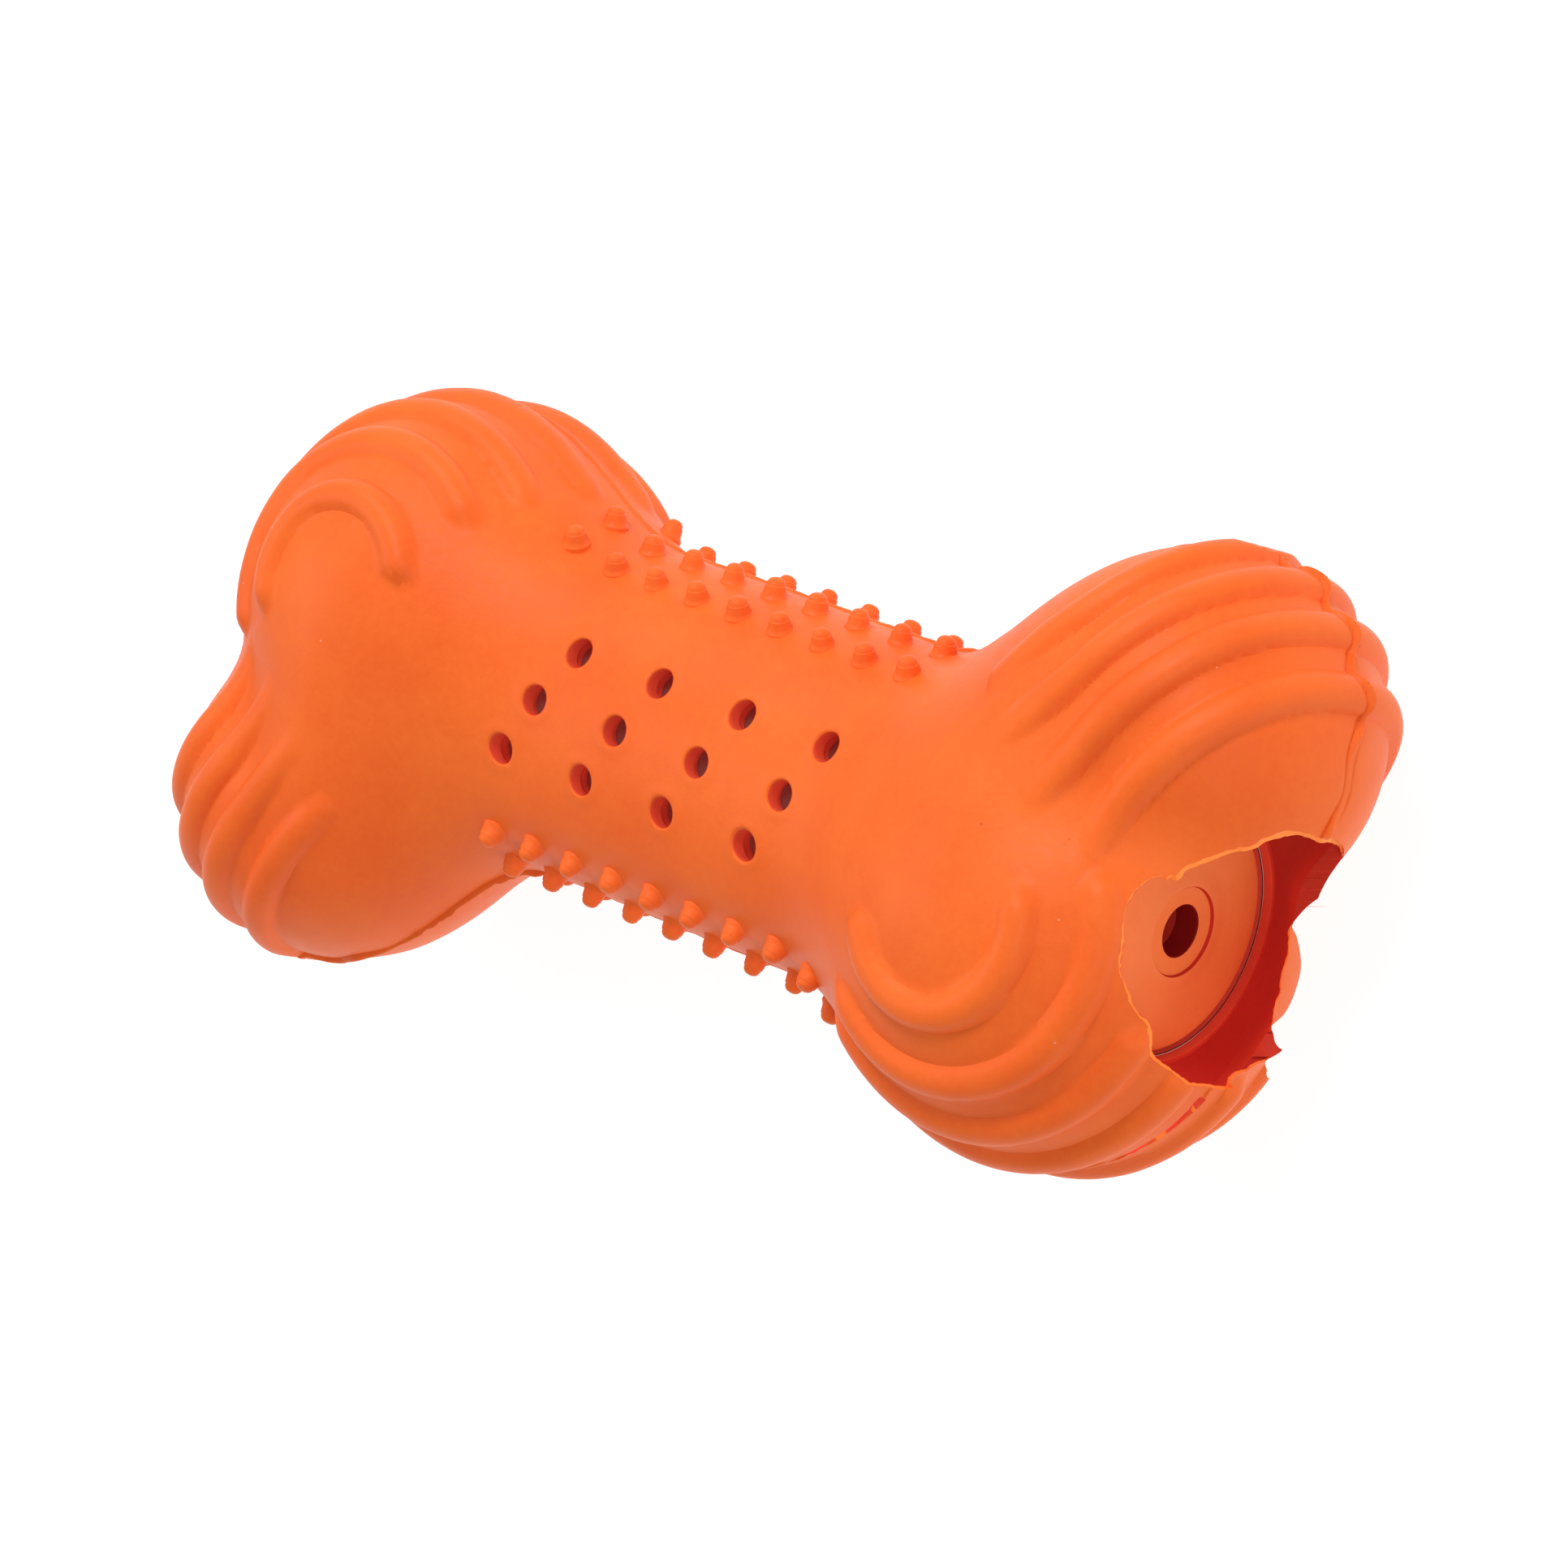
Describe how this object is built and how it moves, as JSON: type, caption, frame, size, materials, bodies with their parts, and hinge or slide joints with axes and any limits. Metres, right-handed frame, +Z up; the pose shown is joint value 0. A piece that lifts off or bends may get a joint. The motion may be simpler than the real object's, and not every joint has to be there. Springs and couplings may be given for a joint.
{
  "type": "rubber chew toy bone",
  "caption": "Hollow rubber dog bone with ribbed lobes, nubs along the shaft, sound holes and a capped crackle tube seen through a torn mouth at one end.",
  "frame": {"origin": "on the floor, under the middle of the bone", "axes": "+X along the bone, towards the open end; +Z up, square to the plane of the seam; +Y across, towards the small lobe of the open end"},
  "size_m": [0.1096, 0.0578, 0.0346],
  "materials": {
    "orange_rubber": "matte moulded rubber",
    "insert_rubber": "matte moulded rubber",
    "clear_plastic": "thin clear film"
  },
  "bodies": {
    "root": {"upper_shell": "orange_rubber", "lower_shell": "orange_rubber", "inner_sleeve": "insert_rubber", "crackle_tube": "clear_plastic", "open_end_disc": "insert_rubber", "closed_end_disc": "insert_rubber"}
  },
  "joints": []
}
